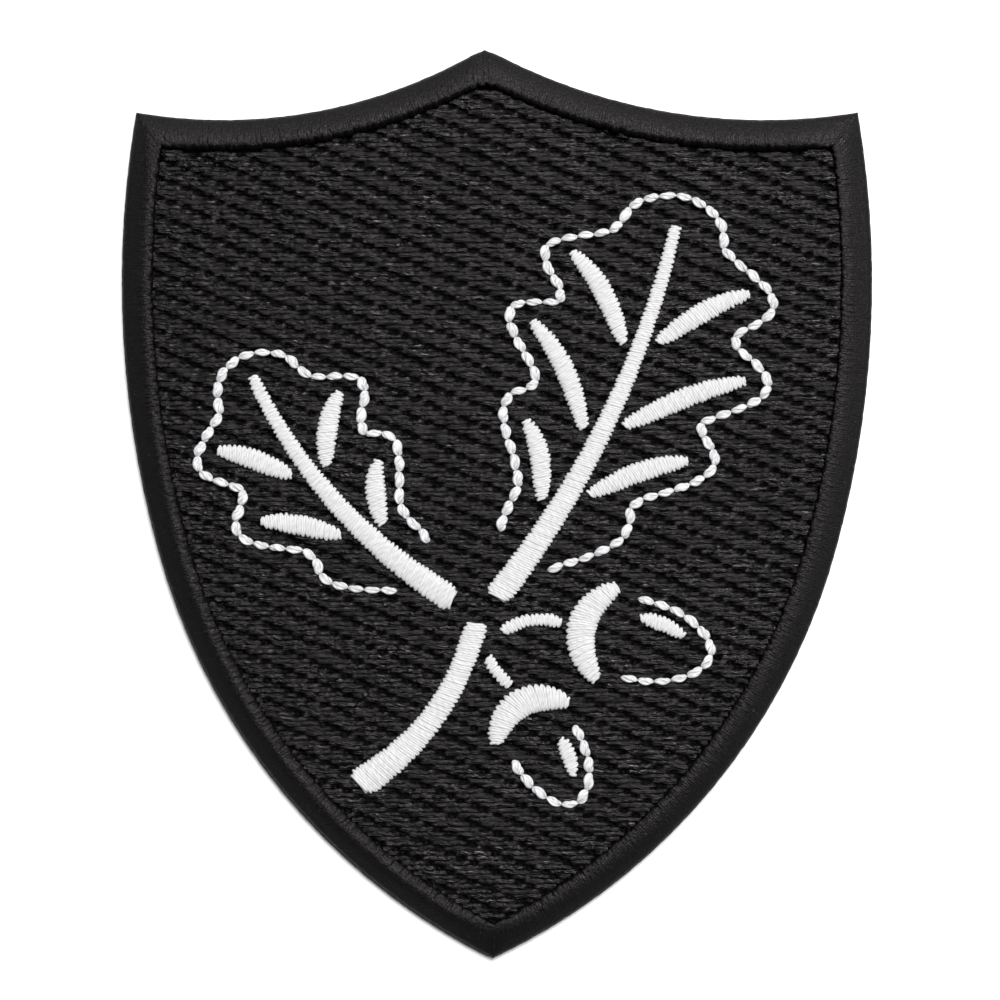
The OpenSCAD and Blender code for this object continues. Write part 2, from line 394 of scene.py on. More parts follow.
# Clockwise from the peak: each arc's centre, and its two ends at the distance d inside the edge
ARCS = (
    (top_c(1), peak_at, lambda d: shoulder_at(1, d)),
    (flank_c(1), lambda d: shoulder_at(1, d), lambda d: turn_at(1, d)),
    (low_c(1), lambda d: turn_at(1, d), foot_at),
    (low_c(-1), foot_at, lambda d: turn_at(-1, d)),
    (flank_c(-1), lambda d: turn_at(-1, d), lambda d: shoulder_at(-1, d)),
    (top_c(-1), lambda d: shoulder_at(-1, d), peak_at),
)


def arc_length(arc):
    centre, start, end = arc
    return abs(start(0) - centre) * abs(cmath.phase((end(0) - centre) / (start(0) - centre)))


def on_arc(arc, t, d):
    """Points at shares t of the arc's outer length and the distance d inside the edge.

    They lie straight across the edge, and fan out near a corner."""
    centre, start, end = arc
    base = start(0) - centre
    whole = cmath.phase((end(0) - centre) / base)
    early = cmath.phase((start(d) - centre) / base)
    late = cmath.phase((end(d) - centre) / base) - whole
    fan = border_fan / abs(base)
    angle = whole * np.asarray(t, float)
    near_start = np.clip(1 - abs(angle) / fan, 0, 1)
    near_end = np.clip(1 - abs(whole - angle) / fan, 0, 1)
    p = centre + abs(start(d) - centre) * unit(base) * np.exp(
        1j * (angle + early * near_start + late * near_end))
    return p - 1j * peak_round * np.exp(-((abs(p - peak_at(d)) / peak_round_run) ** 2))


def shield_loop(d, step):
    """A closed loop of points about a step apart, at the distance d inside the edge."""
    parts = []
    for arc in ARCS:
        n = max(2, round(arc_length(arc) / step))
        parts.append(on_arc(arc, np.arange(n) / n, d))
    return np.concatenate(parts)


def edge_gaps(p):
    """Distances of the points p inside each of the shield's arcs.

    On each side, the arc that doesn't bound the height of a point counts as far beyond it."""
    gaps = []
    for s in (1, -1):
        gaps.append(abs(p - top_c(s)) - top_r(s))
        gaps.append(np.where(p.imag > turn_y, flank_r - abs(p - flank_c(s)), beyond))
        gaps.append(np.where(p.imag <= turn_y, low_r(s) - abs(p - low_c(s)), beyond))
    return gaps


def inside(p):
    """Distance of the points p inside the shield's edge."""
    return np.min(edge_gaps(p), axis=0)


def corner_share(p):
    """Shares of the distance inside that are left near a corner, so that a ridge turns in a curve."""
    near, far = np.sort(edge_gaps(p), axis=0)[:2]
    soft = corner_soft * (near + far) / 2
    return 1 - soft / near * np.log1p(np.exp((near - far) / soft))


# The emblem's outlines and strokes, in the box that the ground leaves for it
emblem_x = shield_w / 2 - cut_edge - border_w - emblem_side
emblem_hi = shoulder_y - top_sag - emblem_top
emblem_lo = -peak_y + emblem_foot
emblem_c = (emblem_hi + emblem_lo) / 2
emblem_y = (emblem_hi - emblem_lo) / 2


def place(p):
    return complex(p[0] * emblem_x, emblem_c + p[1] * emblem_y)


def from_fork(p):
    return place(FORK) + satin_w * complex(*p)


def taper(t, w):
    return w[0] * (1 - t) * (1 - 2 * t) + 4 * w[1] * t * (1 - t) + w[2] * t * (2 * t - 1)


def bowed(a, b, bow, t):
    return a + (b - a) * (t + 4j * bow * t * (1 - t))


class Leaf:
    """A lobed leaf: u runs from its foot to its tip, and v is the distance from its rib in mm.

    s is 1 on the left of the rib and -1 on the right, seen from the foot."""

    def __init__(self, row):
        self.foot = from_fork(row[0])
        self.tip = place(row[1])
        self.bow, self.half, self.lobes, self.lead, self.notch, self.sweep = row[2:]
        self.run = self.tip - self.foot
        self.length = abs(self.run)

    def rib(self, u):
        return bowed(self.foot, self.tip, self.bow, u)

    def beside(self, u, v, s):
        ahead = self.run * (1 + 4j * self.bow * (1 - 2 * u))
        return self.rib(u) + s * v * 1j * ahead / abs(ahead)

    def envelope(self, u):
        return self.half * self.length * np.maximum(0, np.sin(np.pi * u**leaf_skew)) ** leaf_full

    def width(self, u, s):
        w = np.sin(np.pi * (self.lobes - self.lead * s) * (u - 1) + np.pi / 2)
        lobe = np.sqrt((w**2 + notch_round**2) / (1 + notch_round**2))
        return self.envelope(u) * (1 - self.notch * (1 - lobe))

    def swept(self, u, v):
        return u + self.sweep * v / self.length * (1 - u) ** sweep_fade

    def edge(self, u, s):
        v = self.width(u, s)
        return self.beside(self.swept(u, v), v, s)

    def outline(self):
        clear = satin_w * RIB[0] / 2 + leaf_gap + outline_w / 2
        u = np.arange(0.02, 0.5, 0.005)
        opening = u[np.argmax(np.minimum(self.width(u, 1), self.width(u, -1)) > clear)]
        q = np.linspace(0, 1, 240)
        up = self.edge(opening + (1 - opening) * q, 1)
        down = self.edge(1 - (1 - opening) * q, -1)
        return np.concatenate([up, down[1:]])

    def vein(self, k, s):
        t = np.linspace(0, 1, 60)
        u = 1 - k / (self.lobes - self.lead * s)
        v = self.envelope(u)
        u_out = self.swept(u, v)
        u_in = u_out - (self.sweep + vein_rake) * v / self.length - vein_arch
        v_in = satin_w * (taper(u_in / rib_end, RIB) + VEIN[0]) / 2 + stroke_gap
        v_out = v - outline_w / 2 - vein_gap - satin_w * VEIN[2] / 2
        u_path = u_in + (u_out - u_in) * t + vein_arch * np.sin(np.pi * t)
        return self.beside(u_path, v_in + (v_out - v_in) * t, s)


class Acorn:
    """An acorn: x runs along it from the top of its cup and y across it, both in mm."""

    def __init__(self, row):
        self.stalk_foot = from_fork(row[0])
        self.cup_top = place(row[1])
        self.axis = place(row[2]) - self.cup_top
        self.bow, wide = row[3:]
        self.length = abs(self.axis)
        self.width = wide * self.length
        self.crest = satin_w * CUP[1] / 2
        self.nut_from = self.crest + cup_depth * self.length + satin_w * CUP[2] / 2 + nut_gap

    def at(self, x, y):
        return self.cup_top + unit(self.axis) * (x + 1j * y)

    def stalk(self):
        end = self.at(-stroke_gap - satin_w * STALK[2] / 4, 0)
        return bowed(self.stalk_foot, end, self.bow, np.linspace(0, 1, 60))

    def cup(self):
        y = np.linspace(-1, 1, 120)
        return self.at(self.crest + cup_depth * self.length * y**2, self.width * y / 2)

    def nut_x(self, q):
        return self.nut_from + (nut_end * self.length - self.nut_from) * q

    def nut_y(self, q):
        return nut_half * self.width * (1 - q**nut_square) ** nut_full

    def nut(self):
        i = np.linspace(-1, 1, 481)
        q = 1 - abs(i)
        return self.at(self.nut_x(q), np.where(i < 0, 1, -1) * self.nut_y(q))

    def gleam(self):
        q = np.linspace(*gleam_run, 60)
        inset = outline_w / 2 + gleam_gap + satin_w * GLEAM[1] / 2
        return self.at(self.nut_x(q), self.nut_y(q) - inset)


def resampled(path, n):
    """n + 1 points of the path at even distances along it."""
    run = np.concatenate([[0], np.cumsum(abs(np.diff(path)))])
    return along(path, run[-1] * np.arange(n + 1) / n)


def along(path, s):
    """The path's points at the distances s along it."""
    run = np.concatenate([[0], np.cumsum(abs(np.diff(path)))])
    return np.interp(s, run, path.real) + 1j * np.interp(s, run, path.imag)


def path_length(path):
    return abs(np.diff(path)).sum()


# Threads. A thread is a closed tube along its rings, pointed at both ends. The point attribute
# "lay" tells the material where it is on the thread: mm along it, turns around it, thread number.
class Threads:
    """Collects tubes and other closed shapes, and makes one mesh of them."""

    def __init__(self, name):
        self.name = name
        self.rng = rng_for(name)
        self.points = []
        self.quads = []
        self.tris = []
        self.lay = []
        self.count = 0

    def add(self, points, lay, quads, tris):
        self.points.append(points)
        self.lay.append(lay)
        self.quads.append(np.asarray(quads, int).reshape(-1, 4) + self.count)
        self.tris.append(np.asarray(tris, int).reshape(-1, 3) + self.count)
        self.count += len(points)

    def tubes(self, plan, z, half_w, half_h, turns, across=None, ply=(0.0, 1.0), number=None):
        """Adds one thread for each row of plan, which holds its rings' places in plan.

        half_w and half_h are half the width and height of each ring, and across is its direction
        in plan, square to the thread where none is given.
        turns holds the places of the section's points, in turns from the thread's side.
        ply holds the depth of the grooves between its plies, as a share, and their distance in mm.
        number tells the threads apart, from 0 to 1, and is random where none is given."""
        rows, rings = plan.shape
        m = len(turns)
        centre = np.stack([plan.real, plan.imag, z], -1)
        ahead = np.gradient(centre, axis=1)
        ahead /= np.linalg.norm(ahead, axis=-1, keepdims=True)
        if across is None:
            across = 1j * (ahead[..., 0] + 1j * ahead[..., 1])
        side = np.stack([across.real, across.imag, np.zeros_like(z)], -1)
        side -= ahead * (side * ahead).sum(-1, keepdims=True)
        side /= np.linalg.norm(side, axis=-1, keepdims=True)
        up = np.cross(ahead, side)
        up *= np.sign(up[..., 2:])
        run = np.concatenate([np.zeros((rows, 1)), np.cumsum(
            np.linalg.norm(np.diff(centre, axis=1), axis=-1), axis=1)], 1)
        number = np.broadcast_to(self.rng.rand(rows, 1) if number is None else number, (rows, rings))
        run = run + ply_slip * np.sin(2 * np.pi * (run / ply_slip_wave + self.rng.rand(rows, 1)))
        phase = (run / ply[1] + ply_start * number)[..., None] - 2 * turns
        swell = 1 - ply[0] * (0.5 + 0.5 * np.cos(2 * np.pi * phase))
        angle = 2 * np.pi * turns
        ring = (centre[:, :, None]
                + side[:, :, None] * (half_w[..., None] * np.cos(angle) * swell)[..., None]
                + up[:, :, None] * (half_h[..., None] * np.sin(angle) * swell)[..., None])
        lay = np.stack([np.broadcast_to(run[..., None], (rows, rings, m)),
                        np.broadcast_to(turns, (rows, rings, m)),
                        np.broadcast_to(number[..., None], (rows, rings, m))], -1)
        tips = centre[:, [0, -1]] + tip_share * ahead[:, [0, -1]] * half_h[:, [0, -1], None] * [[[-1], [1]]]
        tip_lay = np.stack([run[:, [0, -1]], np.full((rows, 2), top_turn), number[:, [0, -1]]], -1)
        each = rings * m + 2
        points = np.concatenate([ring.reshape(rows, -1, 3), tips], 1).reshape(-1, 3)
        lays = np.concatenate([lay.reshape(rows, -1, 3), tip_lay], 1).reshape(-1, 3)
        j = np.arange(m)
        k = (j + 1) % m
        i = np.arange(rings - 1)[:, None] * m
        walls = np.stack([i + j, i + k, i + m + k, i + m + j], -1).reshape(-1, 4)
        last = (rings - 1) * m
        caps = np.concatenate([np.stack([k, j, np.full(m, each - 2)], -1),
                               np.stack([last + j, last + k, np.full(m, each - 1)], -1)])
        start = np.arange(rows)[:, None, None] * each
        self.add(points, lays, walls + start, caps + start)

    def ring_band(self, loops):
        """Adds a closed ring whose section's points lie on the given loops, rows of (x, y, z)."""
        m, n = loops.shape[:2]
        j = np.arange(m)[:, None] * n
        k = (j + n) % (m * n)
        i = np.arange(n)
        after = (i + 1) % n
        quads = np.stack([j + i, k + i, k + after, j + after], -1)
        lay = np.tile([0.0, top_turn, 0.5], (m * n, 1))
        self.add(loops.reshape(-1, 3), lay, quads, [])

    def mesh(self, material, slot):
        """Makes the mesh, which rides on the patch."""
        mesh = bpy.data.meshes.new(self.name)
        faces = np.concatenate(self.quads).tolist() + np.concatenate(self.tris).tolist()
        mesh.from_pydata(np.concatenate(self.points) * MM, [], faces)
        mesh.attributes.new("lay", "FLOAT_VECTOR", "POINT").data.foreach_set(
            "vector", np.concatenate(self.lay).astype(np.float32).ravel())
        mesh.shade_smooth()
        mesh.materials.append(material)
        piece = bpy.data.objects.new(self.name, mesh)
        bpy.context.scene.collection.objects.link(piece)
        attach(piece, "root")
        return piece


# Places of a section's points in turns: dense over the top, sparse beneath
SECTION_FINE = np.array([-0.01, 0.09, 0.17, 0.25, 0.33, 0.41, 0.51, 0.75])
SECTION_PLAIN = np.array([-0.05, 0.11, 0.25, 0.39, 0.55])


# Filling
def row_spans(y, loop):
    """Where a row at height y runs inside the loop, as pairs of ends."""
    after = np.roll(loop, -1)
    crossing = (loop.imag > y) != (after.imag > y)
    a, b = loop[crossing], after[crossing]
    x = np.sort(a.real + (b.real - a.real) * (y - a.imag) / (b.imag - a.imag))
    return list(zip(x[0::2], x[1::2]))


def row_needles(j):
    """Where the needle went in along row j, a little uneven, and how wide the holes are."""
    first = math.floor((-shield_w - j * row_shift) / stitch_long)
    n = math.ceil(2 * shield_w / stitch_long)
    rng = rng_for(f"needles{j}")
    slip = rng.uniform(-needle_slip, needle_slip, n)
    return j * row_shift + stitch_long * (first + np.arange(n)) + slip, rng.uniform(*needle_wide, n)


def fill_rows(threads, low_y, high_y):
    """Adds the filling's rows whose y lies between two values."""
    loop = shield_loop(cut_edge + border_w + fill_gap, row_loop_step)
    inner = cut_edge + border_w
    low = cloth_top + row_low
    crest = fill_top - row_half_h - top_clear
    for j in range(int(shield_h / row_pitch) + 1):
        y = peak_y - row_pitch * (j + 0.5)
        if not low_y < y <= high_y:
            continue
        rng = rng_for(f"row{j}")
        near = {k: row_needles(j + k) for k in (-1, 0, 1)}
        slack = rng.uniform(-1, 1, (5, len(near[0][0]) + 1))
        for a, b in row_spans(y, loop):
            a, b = a - rng.uniform(*row_reach), b + rng.uniform(*row_reach)
            n = round((b - a) / ring_step)
            if n < row_least:
                continue
            x = a + (b - a) * np.arange(n + 1) / n
            x = np.concatenate([x[:1], [a + row_end], x[1:-1], [b - row_end], x[-1:]])
            gap = {k: (abs(x[:, None] - at) / wide).min(1) for k, (at, wide) in near.items()}
            aside, lift, thick, _, number = slack[:, np.searchsorted(near[0][0], x)]
            dive = np.exp(-((gap[0] / needle_run) ** 2))
            free = 1 - dive
            above, below = (np.exp(-((gap[k] / beside_run) ** 2)) for k in (-1, 1))
            yy = y + beside_lean * (below - above) + wander(rng, x, *row_wave)
            yy = yy + free * (slack_aside * aside + wander(rng, x, *aside_wave))
            edge = np.clip((inside(x + 1j * yy) - inner) / row_edge_run, 0, 1)
            rise = np.sqrt(edge * (2 - edge)) * free
            z = low + (crest - slack_lift + slack_lift * lift - low) * rise
            z = z + (wander(rng, x, *lift_wave) + beside_rise * above) * free * edge
            half = (1 - needle_thin * dive) * (1 + slack_thick * thick + wander(rng, x, *thick_wave))
            half_w = row_half_w * half * (1 - beside_narrow * (above + below))
            half_h = row_half_h * half * (1 + beside_thicken * above)
            threads.tubes((x + 1j * yy)[None], z[None], half_w[None], half_h[None], SECTION_PLAIN,
                          ply=(row_groove, twist_mm), number=(0.5 + 0.5 * number)[None])


# Border
def border_z(share, outward, p):
    """Height of the border's threads, from 0 to 1, at shares of its width from outside.

    The side that faces right is lower, the top is rounder, and both low sides have their crest
    farther out, the left one most."""
    right, left = np.clip(outward.real, 0, 1), np.clip(-outward.real, 0, 1)
    up, down = np.clip(outward.imag, 0, 1), np.clip(-outward.imag, 0, 1)
    low_left, low_right = 2 * left * down, 2 * right * down
    q = share * corner_share(p)
    crest = border_crest - top_shift * up - right_shift * right
    crest = crest - low_left_shift * low_left - low_right_shift * low_right
    straight = border_straight - top_round * up - low_right_round * low_right
    x = np.minimum(q / crest, 1)
    bend = np.clip((x - straight) / (1 - straight), 0, 1)
    outer = (np.minimum(x, straight) + (1 - straight) * (bend - bend**2 / 2)) / (0.5 + straight / 2)
    drop = inner_drop + top_drop * up + right_drop * right
    drop = drop + low_left_drop * low_left + low_right_drop * low_right
    past = np.clip((q - crest) / (1 - crest), 0, 1)
    inner = (1 - right_lower * right) * (1 - drop * past**inner_bend)
    ends = np.minimum(1, share / outer_end) ** 0.5 * np.minimum(1, (1 - share) / inner_end) ** 0.5
    return (border_rise + (1 - border_rise) * outer) * inner * ends


def border(threads):
    """Adds the border's threads, which lie across it side by side, and their padding."""
    rng = threads.rng
    low = cloth_top + border_low
    q = BORDER_SHARES
    for arc in ARCS:
        n = round(arc_length(arc) / border_pitch)
        t = (np.arange(n) + 0.5 + rng.uniform(-border_slip, border_slip, n)) / n
        plan = np.stack([on_arc(arc, t, cut_edge + border_w * share) for share in q], 1)
        ahead = np.stack([on_arc(arc, t + fan_step, cut_edge + border_w * share) for share in q], 1)
        top = border_top - border_thick - top_clear - border_sink * rng.rand(n, 1)
        number = 0.4 + 0.2 * rng.rand(n, 1)
        inward = np.clip((q - 0.5) / 0.5, 0, 1)
        tuft = sum(wander(rng, t * arc_length(arc), *wave) for wave in tuft_waves)
        ragged = rng.uniform(*border_reach, (n, 1)) + tuft_reach * tuft[:, None]
        ragged = np.minimum(ragged, reach_most)
        z = low + (top - low) * border_z(q, unit(plan[:, :1] - plan[:, -1:]), plan)
        across = unit(ahead - plan)
        plan = plan + ragged * inward * unit(np.gradient(plan, axis=1))
        half_w = np.full(plan.shape, border_pitch * border_overlap)
        half_w[:, [0, -1]] *= border_narrow
        half_h = np.full(plan.shape, border_thick)
        threads.tubes(plan, z, half_w, half_h, SECTION_PLAIN, across, number=number)
    border_padding(threads, low)


def border_padding(threads, low):
    """Adds the ring of padding, whose inner rim goes down to the filling, but not on the right."""
    loops = np.array([shield_loop(cut_edge + border_w * share, pad_loop_step) for share in PAD_SHARES])
    outward = unit(loops[:1] - loops[-1:])
    height = border_z(np.minimum(PAD_SHARES, pad_end)[:, None], outward, loops)
    tops = low + (border_top - 2 * border_pad - low) * height
    raised = np.clip(outward.real, 0, 1) ** 2
    tops[-2:] = (1 - raised) * (fill_top - skirt_drop) + raised * tops[-2:]
    rows = np.stack([loops.real, loops.imag, tops], -1)
    foot_rows = np.stack([loops.real, loops.imag, np.full(loops.shape, cloth_top)], -1)[[-1, 0]]
    threads.ring_band(np.concatenate([rows, foot_rows]))


# Outlines
def bean_stitches(threads, path):
    """Adds an outline: three strands between each two holes, wound round each other on a core."""
    rng = threads.rng
    n = round(path_length(path) / stitch_l)
    holes = resampled(path, n)
    slip_x = rng.uniform(-bean_slip, bean_slip, n - 1)
    slip_y = rng.uniform(-bean_slip, bean_slip, n - 1)
    holes[1:-1] += slip_x + 1j * slip_y
    t = BEAN_SHARES
    step = np.diff(holes)[:, None]
    upright = abs(unit(step).imag)
    plump = bean_plump + upright_plump * upright + rng.uniform(-plump_play, plump_play, (n, 1))
    shown = np.clip((t - bean_hidden) / (1 - 2 * bean_hidden), 0, 1)
    bulge = np.sin(np.pi * shown) ** (bean_full - upright_full * upright)
    wind = rng.uniform(*bean_wind, (n, 1))
    first = rng.uniform(0, 2 * np.pi, (n, 1))
    strand = strand_half * (0.8 + 0.2 * plump)
    spread = outline_w / 2 * plump - strand
    low = fill_top - bean_low
    crown = outline_top - low - strand - bean_clear
    for number in range(3):
        angle = first + 2 * np.pi * number / 3 + wind * (t - 0.5)
        plan = holes[:-1, None] + step * t + 1j * unit(step) * spread * np.cos(angle) * bulge
        z = low + (crown + bean_lift * np.sin(angle)) * bulge
        half = strand * (bean_end + (1 - bean_end) * bulge)
        threads.tubes(plan, z, half, half * bean_flat, SECTION_FINE)
    t = np.linspace(0, 1, 7)
    bulge = np.sin(np.pi * t) ** core_full * np.ones((n, 1))
    plan = holes[:-1, None] + step * t
    z = low + (crown - core_drop) * bulge
    half_w = core_end + outline_w / 2 * plump * core_wide * bulge
    half_h = core_end + core_high * strand * bulge
    threads.tubes(plan, z, half_w, half_h, SECTION_FINE)


# Satin strokes
def satin_stroke(threads, path, widths):
    """Adds a satin stroke: threads to and fro between holes on both sides, over a pad.

    s is the distance along the stroke and v the distance across it."""
    rng = threads.rng
    whole = path_length(path)
    n = max(2, round(whole / hole_pitch))
    q = SATIN_SHARES
    k = np.arange(2 * n)
    back = k % 2 == 1
    start = (k // 2 + 0.5 * back) * whole / n
    middle = start + 0.25 * whole / n
    to_end = np.minimum(middle, whole - middle)
    pinch = end_pinch * np.exp(-((to_end / end_run) ** 2))
    half = satin_w * taper(middle / whole, widths) / 2 * (1 - pinch)
    start = start + rng.uniform(-satin_slip, satin_slip, 2 * n)
    left = half + rng.uniform(*satin_reach, 2 * n)
    right = half + rng.uniform(*satin_reach, 2 * n)
    v = np.where(back, -1, 1)[:, None] * (1 - 2 * q)
    v = np.where(v > 0, v * left[:, None], v * right[:, None])
    reach = half[:, None] * (1 - abs(2 * q - 1))
    step = np.minimum(1, reach / tooth_run) * 0.25
    step = np.where(q < 0.5, step, 0.5 - step)
    s = start[:, None] + step * whole / n - satin_lean * v
    s_safe = np.clip(s, 0, whole)
    eps = whole / 300
    ahead = along(path, np.minimum(s_safe + eps, whole))
    behind = along(path, np.maximum(s_safe - eps, 0))
    tangent = unit(ahead - behind)
    plan = along(path, s_safe) + tangent * (s - s_safe) + 1j * tangent * v
    arch = (1 - abs(2 * q - 1) ** 3) ** satin_arch
    wide = np.clip(2 * half[:, None] / (full_width * satin_w), least_height, 1)
    low = fill_top + satin_half * satin_foot
    high = satin_top - satin_half - rng.uniform(0, satin_sink, (2 * n, 1))
    z = low + (high - low) * wide * arch
    shape = 0.82 + 0.18 * np.minimum(1, reach / tooth_run)
    threads.tubes(plan, z, satin_half_w * shape, satin_half * shape, SECTION_FINE)
    pad_under(threads, path, widths)


def pad_under(threads, path, widths):
    """The closed pad beneath a satin stroke, lower and narrower than its threads."""
    n = max(4, round(path_length(path) / stroke_pad_step))
    p = resampled(path, n)
    across = 1j * unit(np.gradient(p))
    t = np.arange(n + 1) / n
    half = np.maximum(satin_w * taper(t, widths) / 2 - stroke_pad_inset, stroke_pad_least)
    z = np.full(n + 1, fill_top + stroke_pad_low)
    high = np.minimum(stroke_pad_high, half)
    threads.tubes(p[None], z[None], half[None], high[None], SECTION_FINE, across=across[None])


# Cloth
def cloth(material):
    """The cloth: a closed sheet with a cut edge, a little rounded and uneven."""
    rng = rng_for("cloth")
    n = len(shield_loop(0, cloth_loop_step))
    run = np.arange(n) / n * 2 * np.pi
    ragged = sum(np.sin(f * run + rng.rand() * 6.28) for f in CLOTH_WAVES) * cloth_ragged
    levels = list(CLOTH_EDGE) + [(d, cloth_top - z) for d, z in reversed(CLOTH_EDGE)]
    rows = []
    for d, z in levels:
        p = shield_loop(d, cloth_loop_step)
        p = p + ragged * unit(p - 1j * emblem_c)
        rows.append(np.stack([p.real, p.imag, np.full(n, z)], -1))
    i = np.arange(n)
    after = (i + 1) % n
    starts = np.arange(len(levels)) * n
    quads = [np.stack([a + i, a + after, b + after, b + i], -1) for a, b in zip(starts, starts[1:])]
    faces = np.concatenate(quads).tolist() + [i.tolist(), (starts[-1] + i[::-1]).tolist()]
    mesh = bpy.data.meshes.new("twill_cloth")
    mesh.from_pydata(np.concatenate(rows) * MM, [], faces)
    mesh.materials.append(material)
    piece = bpy.data.objects.new("twill_cloth", mesh)
    bpy.context.scene.collection.objects.link(piece)
    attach(piece, "root")
    return piece


# Materials
class Nodes:
    """A material's nodes, made by short calls."""

    def __init__(self, name):
        self.material = bpy.data.materials.new(name)
        self.material.use_nodes = True
        self.tree = self.material.node_tree
        self.shader = self.tree.nodes["Principled BSDF"]

    def node(self, kind, **settings):
        made = self.tree.nodes.new(kind)
        for key, value in settings.items():
            setattr(made, key, value)
        return made

    def put(self, value, socket):
        if isinstance(value, (int, float, tuple)):
            socket.default_value = value
        else:
            self.tree.links.new(value, socket)

    def math(self, operation, a, b=0.0):
        made = self.node("ShaderNodeMath", operation=operation)
        for value, socket in zip((a, b), made.inputs):
            self.put(value, socket)
        return made.outputs[0]

    def mix(self, share, a, b):
        """A mix of two colours, whose sockets follow those for numbers and vectors."""
        made = self.node("ShaderNodeMix", data_type="RGBA")
        self.put(share, made.inputs["Factor"])
        self.put(a, made.inputs[6])
        self.put(b, made.inputs[7])
        return made.outputs[2]

    def noise(self, vector, scale, detail=2.0):
        made = self.node("ShaderNodeTexNoise")
        self.put(vector, made.inputs["Vector"])
        self.put(scale, made.inputs["Scale"])
        self.put(detail, made.inputs["Detail"])
        return made.outputs["Fac"]

    def bump(self, height, distance):
        made = self.node("ShaderNodeBump")
        self.put(height, made.inputs["Height"])
        self.put(distance, made.inputs["Distance"])
        return made.outputs["Normal"]

    def combine(self, x, y, z):
        made = self.node("ShaderNodeCombineXYZ")
        for value, socket in zip((x, y, z), made.inputs):
            self.put(value, socket)
        return made.outputs[0]

    def split(self, vector):
        made = self.node("ShaderNodeSeparateXYZ")
        self.put(vector, made.inputs[0])
        return made.outputs

    def ramp(self, value, start, end):
        """A share that goes from 0 where value is start to 1 where it is end."""
        made = self.node("ShaderNodeMapRange")
        self.put(value, made.inputs["Value"])
        self.put(start, made.inputs["From Min"])
        self.put(end, made.inputs["From Max"])
        return made.outputs["Result"]

    def where(self):
        return self.node("ShaderNodeTexCoord").outputs["Object"]


def dimmed(colour, share):
    return tuple(c * share for c in colour[:3]) + (1,)


def thread_material(name, dark, light, rough, gloss, relief, plies, streaks, mottle, shine,
                    speckle=0.3, fuzz=0.0, lint=0.0, deep=None, tint=(1, 1, 1, 1)):
    """Twisted filament thread: plies wind round it, and fine filaments run along it.

    dark and light are its colours between and on the filaments: the darker colour between them is painted
    shade, with a lightness that differs at random between threads. relief is in mm, and plies, streaks[2]
    and mottle are the shares that make it up, and plies also sets the painted shade in the grooves between
    plies. The first two of streaks count them for each mm along the thread and for each turn around it.
    shine is how much smoother they are.
    speckle is the size of the mottle in mm, fuzz its share in the roughness, and lint the share of
    pale fluff. deep holds the heights between which the thread turns from open to lying low in a needle
    hole, where it is smoother and its colour darkens as painted shade."""
    m = Nodes(name)
    run, round_it, number = m.split(m.node("ShaderNodeAttribute", attribute_name="lay").outputs["Vector"])
    place_m = m.where()
    phase = m.math("SUBTRACT", m.math("DIVIDE", run, twist_mm), m.math("MULTIPLY", round_it, 2.0))
    phase = m.math("ADD", phase, m.math("MULTIPLY", number, ply_start))
    ply = m.math("ABSOLUTE", m.math("SINE", m.math("MULTIPLY", phase, math.pi)))
    ahead = m.math("MULTIPLY", run, streaks[0])
    around = m.math("SUBTRACT", m.math("MULTIPLY", round_it, streaks[1]), m.math("MULTIPLY", run, 0.6))
    grain = m.noise(m.combine(ahead, around, m.math("MULTIPLY", number, 8.0)), 1.0)
    streak = m.ramp(grain, *grain_range)
    plied = m.math("MULTIPLY", m.math("POWER", ply, 0.6), plies)
    height = m.math("ADD", plied, m.math("MULTIPLY", streak, streaks[2]))
    grit = m.noise(place_m, 1 / (speckle * MM))
    height = m.math("ADD", height, m.math("MULTIPLY", grit, mottle))
    # Colour lighter on the filaments' raised streaks and darker between them as painted shade, with a
    # lightness that differs at random between threads
    tone_and_painted_shade = m.math("MULTIPLY", streak, m.math("ADD", 0.55, m.math("MULTIPLY", number, 0.45)))
    shade = m.mix(tone_and_painted_shade, dark, light)
    # Painted shade in the grooves between plies: the colour darkens where the plies part
    groove_shade = m.math("MULTIPLY", m.math("SUBTRACT", 1.0, ply), 0.5 * plies)
    shade = m.mix(groove_shade, shade, dimmed(dark, groove_painted_shade))
    if lint:
        fluff = m.noise(place_m, 1 / (lint_size * MM), 0.0)
        speck = m.math("MULTIPLY", m.math("SUBTRACT", fluff, lint_from), lint_gain)
        speck = m.math("MULTIPLY", m.math("MINIMUM", m.math("MAXIMUM", speck, 0.0), 1.0), lint)
        shade = m.mix(speck, shade, LINT)
    dull = m.math("SUBTRACT", m.math("MULTIPLY", number, number_rough), m.math("MULTIPLY", streak, shine))
    if fuzz:
        dull = m.math("ADD", dull, m.math("MULTIPLY", m.math("SUBTRACT", grit, 0.5), fuzz))
    # Stretches low in a needle hole are smoother, and their colour darkens as painted shade
    if deep:
        sunk_shade_mask = m.ramp(m.split(place_m)[2], deep[0] * MM, deep[1] * MM)
        dull = m.math("SUBTRACT", dull, m.math("MULTIPLY", sunk_shade_mask, sunk_smooth))
        shade = m.mix(sunk_shade_mask, shade, dimmed(dark, sunk_painted_shade))
    m.put(shade, m.shader.inputs["Base Color"])
    m.put(m.math("ADD", rough, dull), m.shader.inputs["Roughness"])
    m.put(m.bump(height, relief * MM), m.shader.inputs["Normal"])
    m.shader.inputs["Specular IOR Level"].default_value = gloss
    m.shader.inputs["Specular Tint"].default_value = tint
    return m.material


